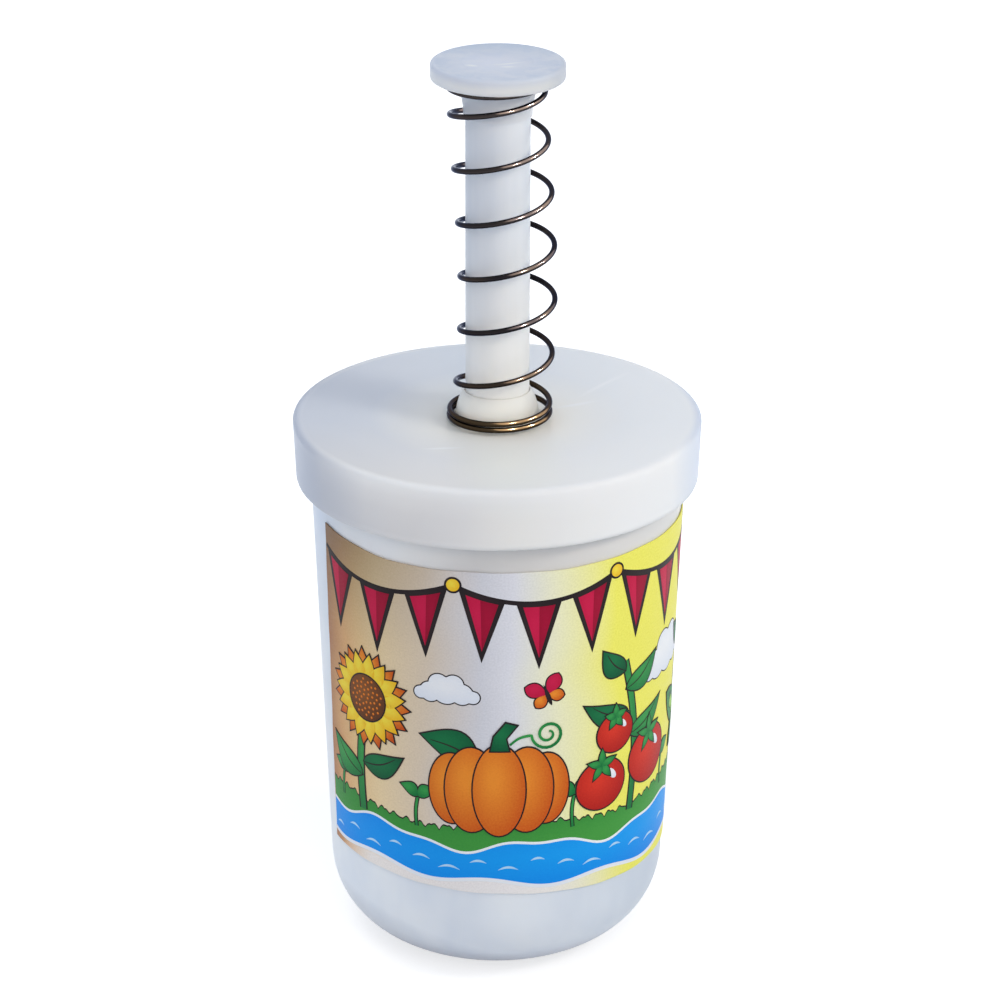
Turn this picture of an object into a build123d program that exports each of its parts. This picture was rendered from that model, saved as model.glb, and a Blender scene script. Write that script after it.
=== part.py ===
from build123d import *

import os
from math import cos, dist, isclose, pi, radians, sin, sqrt, tan

# A hand seed planter: a tapered seed cup, a pull-off lid and a sprung plunger.
# The origin is the centre of the foot, on the surface that the cup stands on.
# +Z runs up the plunger and the front of the label faces -Y. Sizes are in millimetres.

# Clearances that several pieces share
FIT_GAP = 0.05             # between parts that are pushed together and stay so
SLIDE_GAP = 0.15           # between the plunger and what guides it
LID_GAP = 0.3              # between the lid and the cup, each side of the rim

# Plunger rod
ROD_RADIUS = 6.0
ROD_WALL = 2.0

# Cup, measured on its outside
CUP_HEIGHT = 103.5
CUP_BASE_RADIUS = 31.6     # of the straight wall, carried on down to the foot
CUP_DRAFT = 2.16           # degrees that the wall leans out
CUP_WALL = 1.2
CUP_FLOOR = 2.4
FOOT_RADIUS = 18.0
ROUND_HEIGHT = 15.4        # where the wall starts to curve in to the foot
BEAD_STANDS = 0.45         # how far the snap bead stands out of the wall
BEAD_HEIGHT = 2.4
BEAD_DROP = 0.8            # from the rim down to the bead

# Outlet in the floor of the cup
FLANGE_LIFT = 0.2          # from the foot up to the flange
FLANGE_HEIGHT = 1.0
FLANGE_WIDTH = 3.0
FLANGE_GAP = 0.3
BUSH_WALL = 1.4
BARREL_REACH = 2.4         # how far the barrel stands above its nut
NUT_HEIGHT = 2.4
NUT_WIDTH = 3.5
NUT_NOTCHES = 6
NOTCH_WIDTH = 3.0
NOTCH_DEPTH = 1.2
SEAL_GAP = 0.1
SEAL_WIDTH = 1.5
SEAL_HEIGHT = 1.8
SEAL_LIP = 0.8             # height of the part of the seal that wipes the rod
SEAL_RELIEF = 0.5          # how much wider the seal is below its lip
CAP_PLATE = 0.8
CAP_SPIGOT = 1.2
CAP_CLEAR = 0.35           # between the cap and the rod

# Label
LABEL_PAPER = 0.2
LABEL_GLUE = 0.1           # between the wall and the paper
LABEL_ABOVE_ROUND = 5.8    # from the curve of the foot up to the label, at the front
LABEL_BELOW_SKIRT = 5.55   # from the lid's skirt down to the label
LABEL_LEFT = 40.0          # from the middle of the front, round to the left edge
LABEL_WINDOW = 14.0        # bare wall between the two ends, at the lower edge
LABEL_SLANT = 0.05         # how much the lower edge falls for each millimetre to the right

# Lid
LID_PLATE = 2.1
LID_DISH_DEPTH = 0.8       # how far the middle of the lid lies below its edge
LID_DISH_START = 10.5      # radius where the level middle ends
LID_DISH_END = 32.0        # radius where the level edge starts
LID_SKIRT = 11.75
SKIRT_WALL = 2.25
SKIRT_TAPER = 0.5
LID_EDGE_ROUND = 0.7
SKIRT_EDGE_ROUND = 0.5
PLUG_DEPTH = 4.5
PLUG_WALL = 1.4
GUIDE_LENGTH = 8.0
GUIDE_WALL = 1.85
BOSS_HEIGHT = 6.0          # above the middle of the lid
BOSS_WALL = 0.15           # at its top
BOSS_FLARE = 1.6           # how much wider the boss is at its base

# Return spring
WIRE = 1.0
SPRING_LENGTH = 66.3       # from the lid to the button
SPRING_ROD_GAP = 2.25      # between the rod and the open coils
SPRING_BOSS_GAP = 1.0      # between the boss and the closed coil on the lid
SPRING_TOP_FLARE = 0.15    # how much wider the spring grows up to the button
SPRING_BOW = 1.5           # how far the spring bends to the side, half way up
SPRING_LEAN = 0.9          # how much higher a coil stands on its right, half way up
SPRING_END_GAP = 0.1
COIL_GAP = 0.43            # between the closed coils
START_ANGLE = 90.0         # degrees from +X to the lower end of the wire
LOWER_TURNS = 1.35         # closed coils on the lid
RISE_TURNS = 1.0           # coils that open up to the full pitch
OPEN_TURNS = 5.0
FALL_TURNS = 0.7           # coils that close again
UPPER_TURNS = 0.7          # closed coils under the button
ARC_STEPS = 8              # points on each arc where the gap between coils is measured

# Push button
BUTTON_RADIUS = 12.4
BUTTON_HEIGHT = 3.1
BUTTON_EDGE_ROUND = 0.6
DISH_RADIUS = 6.5
DISH_DEPTH = 0.35
COLLAR_HEIGHT = 6.8
COLLAR_WALL = 0.3
COLLAR_FLARE = 1.7         # how much wider the collar is under the button
ROD_SEAT = 0.5             # how far the rod goes into the button
BUTTON_SPIGOT = 8.0

# Stop under the lid
STOP_GAP = 0.1
WASHER_WIDTH = 4.0
WASHER_HEIGHT = 1.0
CLIP_HEIGHT = 1.0
CLIP_STANDS = 3.0          # how far the clip stands out of the rod
CLIP_MOUTH = 8.0
GROOVE_DEPTH = 0.7

# Metering tip
TIP_LIFT = 0.6             # from the foot up to the nose
NOSE_RADIUS = 3.0
NOSE_HEIGHT = 3.0
POCKET_RADIUS = 2.4
POCKET_CLEAR = 1.6         # from the outlet up to the seed pocket
TIP_NECK = 8.0             # from the seed pocket up to the shoulder
TIP_SPIGOT = 10.0

# Places that follow from the sizes above
draft = radians(CUP_DRAFT)
lid_top = CUP_HEIGHT + LID_PLATE
lid_middle = lid_top - LID_DISH_DEPTH
skirt_foot = lid_top - LID_SKIRT
button_seat = lid_middle + SPRING_LENGTH
rod_bore = ROD_RADIUS - ROD_WALL
guide_bore = ROD_RADIUS + SLIDE_GAP
guide_foot = CUP_HEIGHT - GUIDE_LENGTH
seal_pocket = guide_bore + SEAL_WIDTH
barrel_radius = seal_pocket + BUSH_WALL
flange_radius = barrel_radius + FLANGE_WIDTH
flange_top = FLANGE_LIFT + FLANGE_HEIGHT
nut_top = CUP_FLOOR + NUT_HEIGHT
barrel_top = nut_top + BARREL_REACH
seal_top = barrel_top - CAP_SPIGOT
seal_foot = seal_top - SEAL_HEIGHT
outlet_top = barrel_top + CAP_PLATE
pocket_height = outlet_top + POCKET_CLEAR + POCKET_RADIUS
tip_shoulder = pocket_height + POCKET_RADIUS + TIP_NECK
rod_top = button_seat + ROD_SEAT
washer_top = guide_foot - STOP_GAP
washer_foot = washer_top - WASHER_HEIGHT
clip_foot = washer_foot - CLIP_HEIGHT
groove_radius = ROD_RADIUS - GROOVE_DEPTH
boss_top_radius = guide_bore + BOSS_WALL
boss_base_radius = boss_top_radius + BOSS_FLARE


def cup_radius(height):
    """Outer radius of the straight wall at a height above the foot."""
    return CUP_BASE_RADIUS + height * tan(draft)


# Cup: a straight tapered wall that curves in to a flat foot, with a snap bead at the rim
inward = Vector(-cos(draft), sin(draft))
round_start = Vector(cup_radius(ROUND_HEIGHT), ROUND_HEIGHT)
foot_edge = Vector(FOOT_RADIUS, 0)
to_foot = foot_edge - round_start
round_radius = to_foot.dot(to_foot) / (2 * to_foot.dot(inward))
round_centre = round_start + inward * round_radius
inner_start = round_start + inward * CUP_WALL
inner_drop = round_centre.Y - CUP_FLOOR
floor_radius = round_centre.X + sqrt((round_radius - CUP_WALL) ** 2 - inner_drop**2)
inner_offset = CUP_WALL / cos(draft)
bead_top = CUP_HEIGHT - BEAD_DROP
bead_middle = bead_top - BEAD_HEIGHT / 2
bead_foot = bead_top - BEAD_HEIGHT
bead_radius = cup_radius(bead_middle) + BEAD_STANDS

with BuildPart() as cup:
    with BuildSketch(Plane.XZ):
        with BuildLine():
            Polyline(
                (floor_radius, CUP_FLOOR),
                (barrel_radius + FIT_GAP, CUP_FLOOR),
                (barrel_radius + FIT_GAP, flange_top),
                (flange_radius + FLANGE_GAP, flange_top),
                (flange_radius + FLANGE_GAP, 0),
                (FOOT_RADIUS, 0),
            )
            TangentArc(round_start, foot_edge, tangent=(-sin(draft), -cos(draft)))
            Line(round_start, (cup_radius(bead_foot), bead_foot))
            ThreePointArc(
                (cup_radius(bead_foot), bead_foot),
                (bead_radius, bead_middle),
                (cup_radius(bead_top), bead_top),
            )
            Polyline(
                (cup_radius(bead_top), bead_top),
                (cup_radius(CUP_HEIGHT), CUP_HEIGHT),
                (cup_radius(CUP_HEIGHT) - inner_offset, CUP_HEIGHT),
                inner_start,
            )
            TangentArc(inner_start, (floor_radius, CUP_FLOOR), tangent=(-sin(draft), -cos(draft)))
        make_face()
    revolve(axis=Axis.Z)
cup.part.label = "cup"

# Outlet bush: pushed up through the floor until its flange sits in the recess of the foot
with BuildPart() as outlet_bush:
    with BuildSketch(Plane.XZ):
        with BuildLine():
            Polyline(
                (guide_bore, FLANGE_LIFT),
                (flange_radius, FLANGE_LIFT),
                (flange_radius, flange_top),
                (barrel_radius, flange_top),
                (barrel_radius, barrel_top),
                (seal_pocket, barrel_top),
                (seal_pocket, seal_foot),
                (guide_bore, seal_foot),
                close=True,
            )
        make_face()
    revolve(axis=Axis.Z)
outlet_bush.part.label = "outlet_bush"

# Ring nut that clamps the bush to the floor, with notches for a pin spanner
nut_radius = barrel_radius + NUT_WIDTH

with BuildPart() as bush_nut:
    with BuildSketch(Plane.XY.offset(CUP_FLOOR)):
        Circle(nut_radius)
        Circle(barrel_radius + FIT_GAP, mode=Mode.SUBTRACT)
        with PolarLocations(nut_radius, NUT_NOTCHES):
            Rectangle(2 * NOTCH_DEPTH, NOTCH_WIDTH, mode=Mode.SUBTRACT)
    extrude(amount=NUT_HEIGHT)
bush_nut.part.label = "bush_nut"

# Wiper seal: its lip strips loose seed off the plunger as it goes down
seal_bore = ROD_RADIUS + SEAL_GAP

with BuildPart() as wiper_seal:
    with BuildSketch(Plane.XZ):
        with BuildLine():
            Polyline(
                (seal_bore, seal_top),
                (seal_pocket - FIT_GAP, seal_top),
                (seal_pocket - FIT_GAP, seal_foot),
                (seal_bore + SEAL_RELIEF, seal_foot),
                (seal_bore, seal_top - SEAL_LIP),
                close=True,
            )
        make_face()
    revolve(axis=Axis.Z)
wiper_seal.part.label = "wiper_seal"

# Cap that is pressed into the bush and holds the seal down
cap_bore = ROD_RADIUS + CAP_CLEAR

with BuildPart() as seal_cap:
    with BuildSketch(Plane.XZ):
        with BuildLine():
            Polyline(
                (cap_bore, seal_top),
                (seal_pocket - FIT_GAP, seal_top),
                (seal_pocket - FIT_GAP, barrel_top),
                (barrel_radius, barrel_top),
                (barrel_radius, outlet_top),
                (cap_bore, outlet_top),
                close=True,
            )
        make_face()
    revolve(axis=Axis.Z)
seal_cap.part.label = "seal_cap"

# Label: a sheet round the wall, cut askew along its foot, with its two ends apart on the left
label_foot = ROUND_HEIGHT + LABEL_ABOVE_ROUND
label_top = skirt_foot - LABEL_BELOW_SKIRT


def label_radius(height):
    """Radius of the printed face of the label at a height above the foot."""
    return cup_radius(height) + LABEL_GLUE + LABEL_PAPER


def label_end(height, beyond_left):
    """Point of a label end in the YZ plane, at a distance round from the left edge."""
    angle = (LABEL_LEFT + beyond_left) / label_radius(height)
    return (-label_radius(height) * cos(angle), height)


label_low = label_foot - LABEL_SLANT * label_radius(label_foot)
top_window = LABEL_WINDOW + 2 * pi * (label_radius(label_top) - label_radius(label_foot))

with BuildPart() as label:
    with BuildSketch(Plane.XZ):
        with BuildLine():
            Polyline(
                (label_radius(label_low) - LABEL_PAPER, label_low),
                (label_radius(label_low), label_low),
                (label_radius(label_top), label_top),
                (label_radius(label_top) - LABEL_PAPER, label_top),
                close=True,
            )
        make_face()
    revolve(axis=Axis.Z)
    split(bisect_by=Plane(origin=(0, 0, label_foot), z_dir=(LABEL_SLANT, 0, 1)), keep=Keep.TOP)
    with BuildSketch(Plane.YZ):
        with BuildLine():
            Polyline(
                label_end(label_foot, 0),
                label_end(label_top, 0),
                label_end(label_top, top_window),
                label_end(label_foot, LABEL_WINDOW),
                close=True,
            )
        make_face()
    extrude(amount=-2 * label_radius(label_top), mode=Mode.SUBTRACT)
label.part.label = "label"

# Lid: a dished plate with a skirt outside the rim, a plug ring inside it and a guide for the rod
skirt_bore = bead_radius + LID_GAP
lid_radius = skirt_bore + SKIRT_WALL
plug_foot = CUP_HEIGHT - PLUG_DEPTH
plug_radius = cup_radius(plug_foot) - inner_offset - LID_GAP
boss_top = lid_middle + BOSS_HEIGHT
dish_bend = ((LID_DISH_START + LID_DISH_END) / 2, (lid_middle + lid_top) / 2)

with BuildPart() as lid:
    with BuildSketch(Plane.XZ):
        with BuildLine():
            Line((guide_bore, boss_top), (boss_top_radius, boss_top))
            TangentArc((boss_base_radius, lid_middle), (boss_top_radius, boss_top), tangent=(0, 1))
            Line((boss_base_radius, lid_middle), (LID_DISH_START, lid_middle))
            TangentArc((LID_DISH_START, lid_middle), dish_bend, tangent=(1, 0))
            TangentArc((LID_DISH_END, lid_top), dish_bend, tangent=(-1, 0))
            Polyline(
                (LID_DISH_END, lid_top),
                (lid_radius, lid_top),
                (lid_radius - SKIRT_TAPER, skirt_foot),
                (skirt_bore, skirt_foot),
                (skirt_bore, CUP_HEIGHT),
                (plug_radius, CUP_HEIGHT),
                (plug_radius, plug_foot),
                (plug_radius - PLUG_WALL, plug_foot),
                (plug_radius - PLUG_WALL, CUP_HEIGHT),
                (guide_bore + GUIDE_WALL, CUP_HEIGHT),
                (guide_bore + GUIDE_WALL, guide_foot),
                (guide_bore, guide_foot),
                (guide_bore, boss_top),
            )
        make_face()
    revolve(axis=Axis.Z)
    lid_circles = lid.edges().filter_by(GeomType.CIRCLE)
    fillet(lid_circles.filter_by(lambda edge: isclose(edge.radius, lid_radius)), LID_EDGE_ROUND)
    skirt_rims = lid.edges().filter_by(GeomType.CIRCLE).group_by(Axis.Z)[0]
    fillet(skirt_rims.sort_by(SortBy.RADIUS)[-1], SKIRT_EDGE_ROUND)
lid.part.label = "lid"

# Return spring: one wire, closed at both ends, that bows a little to the side
rise_start = LOWER_TURNS
fall_start = LOWER_TURNS + RISE_TURNS + OPEN_TURNS
all_turns = fall_start + FALL_TURNS + UPPER_TURNS
closed_pitch = WIRE + COIL_GAP
wire_foot = lid_middle + SPRING_END_GAP + WIRE / 2
wire_rise = SPRING_LENGTH - 2 * SPRING_END_GAP - WIRE
open_radius = ROD_RADIUS + SPRING_ROD_GAP + WIRE / 2
seat_radius = boss_base_radius + SPRING_BOSS_GAP + WIRE / 2


def eased(turn, start, length):
    """Share, from 0 to 1, of a change that starts at a turn and takes a length of turns."""
    share = min(max((turn - start) / length, 0), 1)
    return (1 - cos(pi * share)) / 2


def eased_sum(turn, start, length):
    """Area under the eased share, up to a turn."""
    share = min(max((turn - start) / length, 0), 1)
    return length * (share / 2 - sin(pi * share) / (2 * pi)) + max(turn - start - length, 0)


def open_share(turn):
    """Turns at the open pitch that the wire has made, up to a turn."""
    return eased_sum(turn, rise_start, RISE_TURNS) - eased_sum(turn, fall_start, FALL_TURNS)


extra_pitch = (wire_rise - closed_pitch * all_turns) / open_share(all_turns)


def wire_point(turn):
    """Middle of the wire after a number of turns from its lower end."""
    rise = closed_pitch * turn + extra_pitch * open_share(turn)
    narrowed = eased(turn, rise_start, RISE_TURNS)
    radius = seat_radius + (open_radius - seat_radius) * narrowed + SPRING_TOP_FLARE * turn / all_turns
    angle = radians(START_ANGLE) + 2 * pi * turn
    bend = sin(pi * rise / wire_rise)
    bow = SPRING_BOW * bend
    lean = SPRING_LEAN * bend * (1 + cos(angle)) / 2
    return Vector(bow + radius * cos(angle), radius * sin(angle), wire_foot + rise + lean)


def wire_heading(turn):
    """Unit direction of the wire after a number of turns."""
    small_turn = 1e-4
    return (wire_point(turn + small_turn) - wire_point(turn - small_turn)).normalized()


def biarc(start, start_heading, end, end_heading):
    """Two tangent arcs from start to end that keep to the heading at each."""
    chord = end - start
    along = chord.dot(start_heading + end_heading)
    spread = 2 * (1 - start_heading.dot(end_heading))
    reach = (sqrt(along**2 + spread * chord.dot(chord)) - along) / spread
    first_corner = start + start_heading * reach
    second_corner = end - end_heading * reach
    middle = (first_corner + second_corner) * 0.5
    TangentArc(start, middle, tangent=start_heading)
    TangentArc(middle, end, tangent=second_corner - first_corner)


quarters = round(4 * all_turns)
stations = [all_turns * step / quarters for step in range(quarters + 1)]
wire_start = wire_point(0) - wire_heading(0) * WIRE
wire_end = wire_point(all_turns) + wire_heading(all_turns) * WIRE

with BuildPart() as return_spring:
    with BuildLine() as wire_line:
        Line(wire_start, wire_point(0))
        for turn, next_turn in zip(stations, stations[1:]):
            biarc(wire_point(turn), wire_heading(turn), wire_point(next_turn), wire_heading(next_turn))
        Line(wire_point(all_turns), wire_end)
    with BuildSketch(Plane(origin=wire_start, z_dir=wire_heading(0))):
        Circle(WIRE / 2)
    sweep()
return_spring.part.label = "return_spring"

# Least gap between neighbouring coils, measured on points along the wire
arc_points = []
for edge in wire_line.edges().filter_by(GeomType.CIRCLE):
    arc_points += [tuple(edge.position_at(step / ARC_STEPS)) for step in range(ARC_STEPS)]
half_turn = round(len(arc_points) / all_turns / 2)
least_gap = min(
    dist(point, other)
    for index, point in enumerate(arc_points)
    for other in arc_points[index + half_turn:]
) - WIRE
print(f"return_spring least gap to itself {least_gap:.3f} mm")

# Plunger rod: a tube with a groove for the clip that stops it under the lid
with BuildPart() as plunger_rod:
    with BuildSketch(Plane.XY.offset(tip_shoulder)):
        Circle(ROD_RADIUS)
        Circle(rod_bore, mode=Mode.SUBTRACT)
    extrude(amount=rod_top - tip_shoulder)
    with BuildSketch(Plane.XY.offset(clip_foot - FIT_GAP)):
        Circle(2 * ROD_RADIUS)
        Circle(groove_radius, mode=Mode.SUBTRACT)
    extrude(amount=CLIP_HEIGHT + FIT_GAP, mode=Mode.SUBTRACT)
plunger_rod.part.label = "plunger_rod"

# Push button: a thumb disc with a flared collar and a spigot that plugs the rod
button_top = button_seat + BUTTON_HEIGHT
collar_radius = ROD_RADIUS + FIT_GAP + COLLAR_WALL
collar_foot = button_seat - COLLAR_HEIGHT
spigot_radius = rod_bore - FIT_GAP

with BuildPart() as push_button:
    with BuildSketch(Plane.XZ):
        with BuildLine():
            TangentArc((0, button_top - DISH_DEPTH), (DISH_RADIUS, button_top), tangent=(1, 0))
            Polyline(
                (DISH_RADIUS, button_top),
                (BUTTON_RADIUS, button_top),
                (BUTTON_RADIUS, button_seat),
                (collar_radius + COLLAR_FLARE, button_seat),
            )
            TangentArc(
                (collar_radius, collar_foot),
                (collar_radius + COLLAR_FLARE, button_seat),
                tangent=(0, 1),
            )
            Polyline(
                (collar_radius, collar_foot),
                (ROD_RADIUS + FIT_GAP, collar_foot),
                (ROD_RADIUS + FIT_GAP, rod_top),
                (spigot_radius, rod_top),
                (spigot_radius, button_seat - BUTTON_SPIGOT),
                (0, button_seat - BUTTON_SPIGOT),
                (0, button_top - DISH_DEPTH),
            )
        make_face()
    revolve(axis=Axis.Z)
    button_circles = push_button.edges().filter_by(GeomType.CIRCLE)
    disc_rims = button_circles.filter_by(lambda edge: isclose(edge.radius, BUTTON_RADIUS))
    fillet(disc_rims, BUTTON_EDGE_ROUND)
push_button.part.label = "push_button"

# Stop washer: meets the guide of the lid when the spring has lifted the plunger
with BuildPart() as stop_washer:
    with BuildSketch(Plane.XY.offset(washer_foot)):
        Circle(guide_bore + WASHER_WIDTH)
        Circle(guide_bore, mode=Mode.SUBTRACT)
    extrude(amount=WASHER_HEIGHT)
stop_washer.part.label = "stop_washer"

# Retaining clip: an open ring, pushed into the groove of the rod from the side
clip_radius = ROD_RADIUS + CLIP_STANDS

with BuildPart() as retaining_clip:
    with BuildSketch(Plane.XY.offset(clip_foot)):
        Circle(clip_radius)
        Circle(groove_radius + FIT_GAP, mode=Mode.SUBTRACT)
        with Locations((0, clip_radius)):
            Rectangle(CLIP_MOUTH, 2 * clip_radius, mode=Mode.SUBTRACT)
    extrude(amount=CLIP_HEIGHT)
retaining_clip.part.label = "retaining_clip"

# Metering tip: carries a pinch of seed down through the seal and pokes it into the soil
nose_shoulder = TIP_LIFT + NOSE_HEIGHT

with BuildPart() as metering_tip:
    with BuildSketch(Plane.XZ):
        with BuildLine():
            Line((0, TIP_LIFT), (NOSE_RADIUS, TIP_LIFT))
            TangentArc((ROD_RADIUS, nose_shoulder), (NOSE_RADIUS, TIP_LIFT), tangent=(0, -1))
            Polyline(
                (ROD_RADIUS, nose_shoulder),
                (ROD_RADIUS, tip_shoulder),
                (spigot_radius, tip_shoulder),
                (spigot_radius, tip_shoulder + TIP_SPIGOT),
                (0, tip_shoulder + TIP_SPIGOT),
                (0, TIP_LIFT),
            )
        make_face()
    revolve(axis=Axis.Z)
    with Locations((ROD_RADIUS, 0, pocket_height)):
        Sphere(POCKET_RADIUS, mode=Mode.SUBTRACT)
metering_tip.part.label = "metering_tip"

# One file for each piece
os.makedirs("parts", exist_ok=True)
export_step(cup.part, "parts/cup.step")
export_step(outlet_bush.part, "parts/outlet_bush.step")
export_step(bush_nut.part, "parts/bush_nut.step")
export_step(wiper_seal.part, "parts/wiper_seal.step")
export_step(seal_cap.part, "parts/seal_cap.step")
export_step(label.part, "parts/label.step")
export_step(lid.part, "parts/lid.step")
export_step(return_spring.part, "parts/return_spring.step")
export_step(plunger_rod.part, "parts/plunger_rod.step")
export_step(push_button.part, "parts/push_button.step")
export_step(stop_washer.part, "parts/stop_washer.step")
export_step(retaining_clip.part, "parts/retaining_clip.step")
export_step(metering_tip.part, "parts/metering_tip.step")
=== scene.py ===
from collections import namedtuple
from math import ceil, cos, floor, pi, radians, sin, sqrt, tan

import bmesh
import bpy
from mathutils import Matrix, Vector
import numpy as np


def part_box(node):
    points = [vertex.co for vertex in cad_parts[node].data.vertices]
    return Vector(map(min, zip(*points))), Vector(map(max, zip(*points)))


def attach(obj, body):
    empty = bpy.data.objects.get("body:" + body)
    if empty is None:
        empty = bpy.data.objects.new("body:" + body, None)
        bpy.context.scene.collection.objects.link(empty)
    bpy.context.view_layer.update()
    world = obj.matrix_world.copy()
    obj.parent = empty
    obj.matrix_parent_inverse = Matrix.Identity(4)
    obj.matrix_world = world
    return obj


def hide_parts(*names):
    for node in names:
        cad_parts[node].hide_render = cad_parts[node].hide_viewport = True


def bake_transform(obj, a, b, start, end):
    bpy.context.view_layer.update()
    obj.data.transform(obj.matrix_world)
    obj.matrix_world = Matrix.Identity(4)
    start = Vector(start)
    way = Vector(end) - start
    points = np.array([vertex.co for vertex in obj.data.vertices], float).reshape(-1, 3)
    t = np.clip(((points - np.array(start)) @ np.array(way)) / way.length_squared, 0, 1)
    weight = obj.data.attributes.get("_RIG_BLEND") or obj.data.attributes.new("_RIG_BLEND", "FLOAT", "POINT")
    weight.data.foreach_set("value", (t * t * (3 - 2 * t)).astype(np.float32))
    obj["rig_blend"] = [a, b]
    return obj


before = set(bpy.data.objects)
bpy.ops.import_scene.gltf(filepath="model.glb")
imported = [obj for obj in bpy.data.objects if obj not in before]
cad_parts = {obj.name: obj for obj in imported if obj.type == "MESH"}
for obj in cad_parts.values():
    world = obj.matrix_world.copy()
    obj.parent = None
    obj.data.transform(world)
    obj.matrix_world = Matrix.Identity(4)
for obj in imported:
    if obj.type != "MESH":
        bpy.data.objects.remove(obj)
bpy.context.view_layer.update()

# The looks of a hand seed planter. Blender's sizes are in metres, and MM turns millimetres into them.
MM = 0.001

# Camera, from the photograph's viewing angle
VIEW_HEIGHT = 95.3 * MM  # of the point on the axis that the camera stands off from
VIEW_DISTANCE = 750 * MM
VIEW_TILT = radians(22.322)
VIEW_ROLL = radians(0.15)
VIEW_AIM = Vector((0.55, -2.55, 89.08)) * MM
LENS_MM = 142.96
SENSOR_MM = 36.0
NEAREST_SEEN = 50 * MM


def linear(value):
    """Linear light of one colour channel given as on screen, from 0 to 255."""
    share = value / 255
    return share / 12.92 if share <= 0.04045 else ((share + 0.055) / 1.055) ** 2.4


def srgb(red, green, blue):
    """A shader's colour from the values that the colour has on screen."""
    return (linear(red), linear(green), linear(blue), 1.0)


def steps(count):
    """Even shares from 0 to 1."""
    return [step / count for step in range(count + 1)]


def between(first, last, count):
    """Even places from first to last."""
    return [first + (last - first) * share for share in steps(count)]


def angles(count):
    """Even angles round a full turn."""
    return [2 * pi * step / count for step in range(count)]


class Tree:
    """A node tree, with short calls that add nodes and link them."""

    def __init__(self, tree):
        self.nodes = tree.nodes
        self.links = tree.links

    def feed(self, socket, value):
        """Links an output to a socket, or sets a plain value on it."""
        if isinstance(value, bpy.types.NodeSocket):
            self.links.new(value, socket)
        else:
            socket.default_value = value

    def add(self, kind, inputs, **settings):
        node = self.nodes.new("ShaderNode" + kind)
        for name, value in settings.items():
            setattr(node, name, value)
        for socket, value in inputs.items():
            self.feed(node.inputs[socket], value)
        return node


class Look(Tree):
    """One node material, with short calls for the nodes that the looks share."""

    def __init__(self, name, settings):
        self.material = bpy.data.materials.new(name)
        self.material.use_nodes = True
        super().__init__(self.material.node_tree)
        self.shader = self.nodes["Principled BSDF"]
        for socket, value in settings.items():
            self.shader.inputs[socket].default_value = value

    def set(self, socket, value):
        self.feed(self.shader.inputs[socket], value)

    def done(self, colour, roughness, normal):
        """The material, with its surface set."""
        self.set("Base Color", colour)
        self.set("Roughness", roughness)
        self.set("Normal", normal)
        return self.material

    def place(self):
        """Place on the piece, in metres, which moves with the piece."""
        return self.add("TexCoord", {}).outputs["Object"]

    def map_place(self, name):
        return self.add("UVMap", {}, uv_map=name).outputs["UV"]

    def stretched(self, place, scale):
        return self.add("Mapping", {"Vector": place, "Scale": scale}).outputs["Vector"]

    def part(self, place, axis):
        """How far a place lies along one axis, X, Y or Z."""
        return self.add("SeparateXYZ", {"Vector": place}).outputs[axis]

    def length(self, place):
        return self.add("VectorMath", {0: place}, operation="LENGTH").outputs["Value"]

    def reach(self, place):
        """Distance from the upright axis."""
        return self.length(self.stretched(place, (1, 1, 0)))

    def facing(self, way):
        """How nearly the surface faces a way, 1 where it does."""
        normal = self.add("TexCoord", {}).outputs["Normal"]
        return self.add("VectorMath", {0: normal, 1: way}, operation="DOT_PRODUCT").outputs["Value"]

    def mark(self, place, middle, length, width, turn):
        """A soft oval on a level face, 1 in its middle; sizes in millimetres, turn in degrees."""
        inputs = {
            "Vector": place,
            "Location": Vector((*middle, 0)) * MM,
            "Rotation": (0, 0, radians(turn)),
            "Scale": (length * MM, width * MM, 1),
        }
        own = self.add("Mapping", inputs, vector_type="TEXTURE").outputs["Vector"]
        return self.span(self.reach(own), 1, 0, 0.1, 1)

    def noise(self, place, scale, detail=2.0, distortion=0.0):
        inputs = {"Vector": place, "Scale": scale, "Detail": detail, "Distortion": distortion}
        return self.add("TexNoise", inputs).outputs["Fac"]

    def math(self, operation, first, second=0.0):
        return self.add("Math", {0: first, 1: second}, operation=operation).outputs[0]

    def times(self, first, second):
        return self.math("MULTIPLY", first, second)

    def span(self, value, low, high, start=0.3, end=0.7):
        """A value from start to end turned into one from low to high, and held there."""
        inputs = {"Value": value, "From Min": start, "From Max": end, "To Min": low, "To Max": high}
        return self.add("MapRange", inputs).outputs["Result"]

    def zone(self, distance, low, high, limits):
        """A value from low to high between two distances in millimetres."""
        start, end = limits
        return self.span(distance, low, high, start * MM, end * MM)

    def mix(self, share, first, second):
        """A mix of two colours, each an output or its values on screen."""
        node = self.add("Mix", {0: share}, data_type="RGBA")
        for socket, colour in ((6, first), (7, second)):
            self.feed(node.inputs[socket], srgb(*colour) if isinstance(colour, tuple) else colour)
        return node.outputs[2]

    def ramp(self, value, stops):
        """A colour through stops, each a place from 0 to 1 and a colour."""
        node = self.add("ValToRGB", {"Fac": value})
        elements = node.color_ramp.elements
        while len(elements) < len(stops):
            elements.new(0.5)
        for element, (position, colour) in zip(elements, stops):
            element.position = position
            element.color = colour
        return node.outputs["Color"]

    def bump(self, height, depth, normal=None):
        """A surface that stands up by the height, from 0 to 1, times the depth in millimetres."""
        inputs = {"Height": height, "Distance": depth * MM}
        if normal is not None:
            inputs["Normal"] = normal
        return self.add("Bump", inputs).outputs["Normal"]


# Plastics; the sizes of their patches are given as patches to the metre
CLOUDS = 34
WAVES = 45
GLOSS_PATCHES = 90
GRAINS = 1900
GLOSS_SPREAD = 0.03  # how far the roughness strays to each side


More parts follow.
